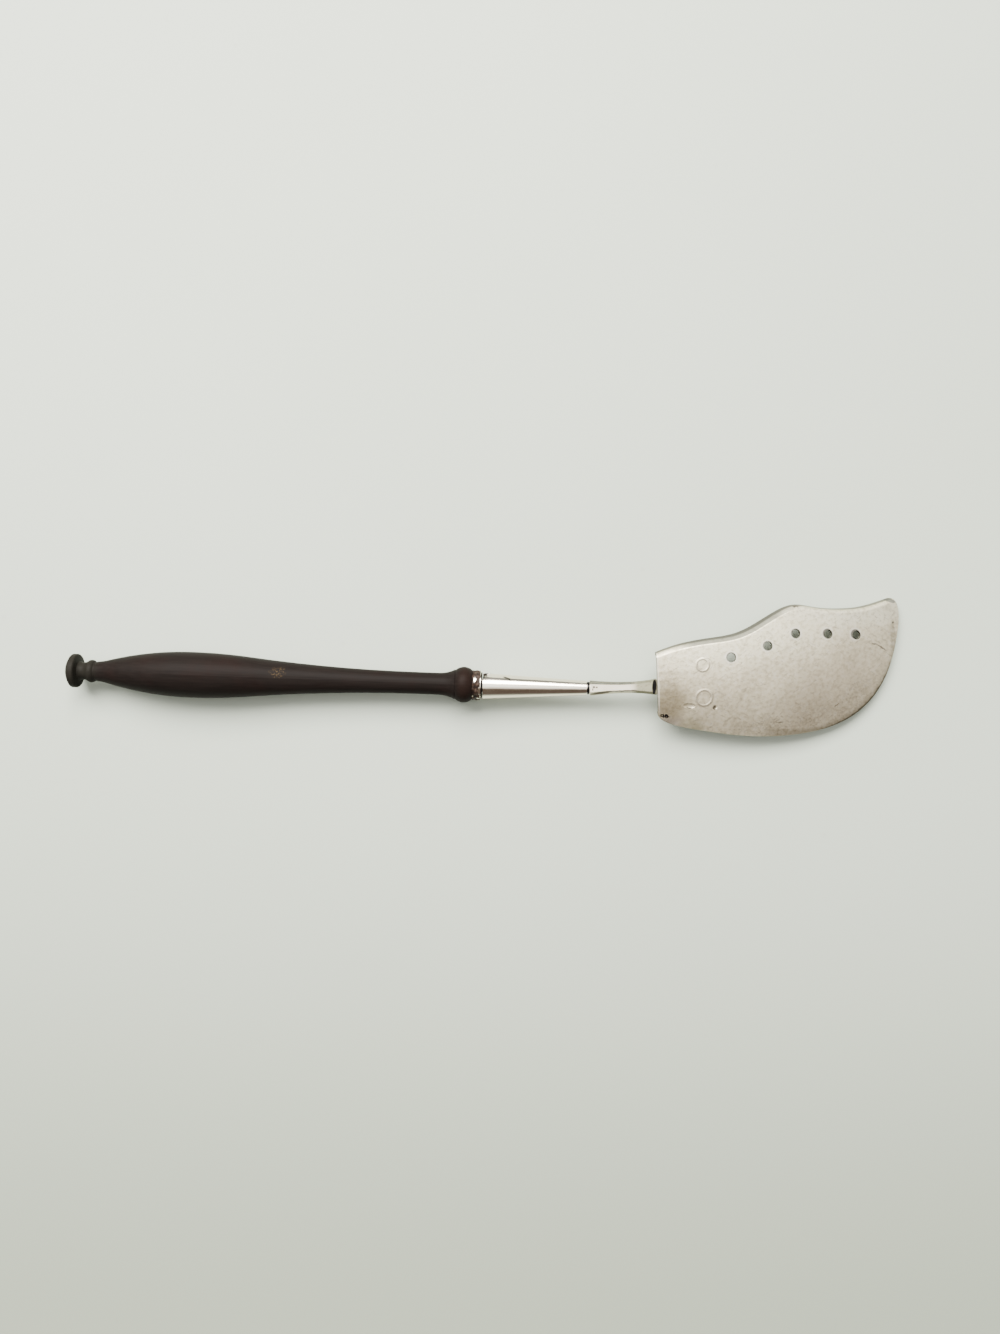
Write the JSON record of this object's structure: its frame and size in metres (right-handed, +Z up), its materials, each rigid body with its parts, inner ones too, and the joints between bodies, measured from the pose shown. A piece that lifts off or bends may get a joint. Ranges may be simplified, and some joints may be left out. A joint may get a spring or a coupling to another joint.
{
  "type": "sardine server",
  "caption": "Sardine server with a turned dark wooden handle, a tapering silver ferrule and a dished, pierced silver blade with a turned-down edge.",
  "frame": {"origin": "on the table, under the middle of the whole server's box", "axes": "+X from the handle's knob to the tip of the blade, +Y to the blade's turned-down edge, +Z up from the table"},
  "size_m": [0.2038, 0.0354, 0.0112],
  "materials": {
    "dark_wood": "very dark turned hardwood, worn to a low sheen",
    "ring_silver": "worn silver, stained",
    "old_glue": "dull brown crust of old glue",
    "ferrule_silver": "polished silver, lightly tarnished",
    "cement": "dark set cement, dull",
    "stem_silver": "worn silver with dull tarnish and small pits",
    "blade_silver": "satin silver with fine wear and light tarnish"
  },
  "bodies": {
    "root": {"wooden_handle": "dark_wood", "ferrule_base_ring": "ring_silver", "old_glue": "old_glue", "ferrule_cone": "ferrule_silver", "cement_filling": "cement", "stem": "stem_silver", "blade": "blade_silver"}
  },
  "joints": []
}
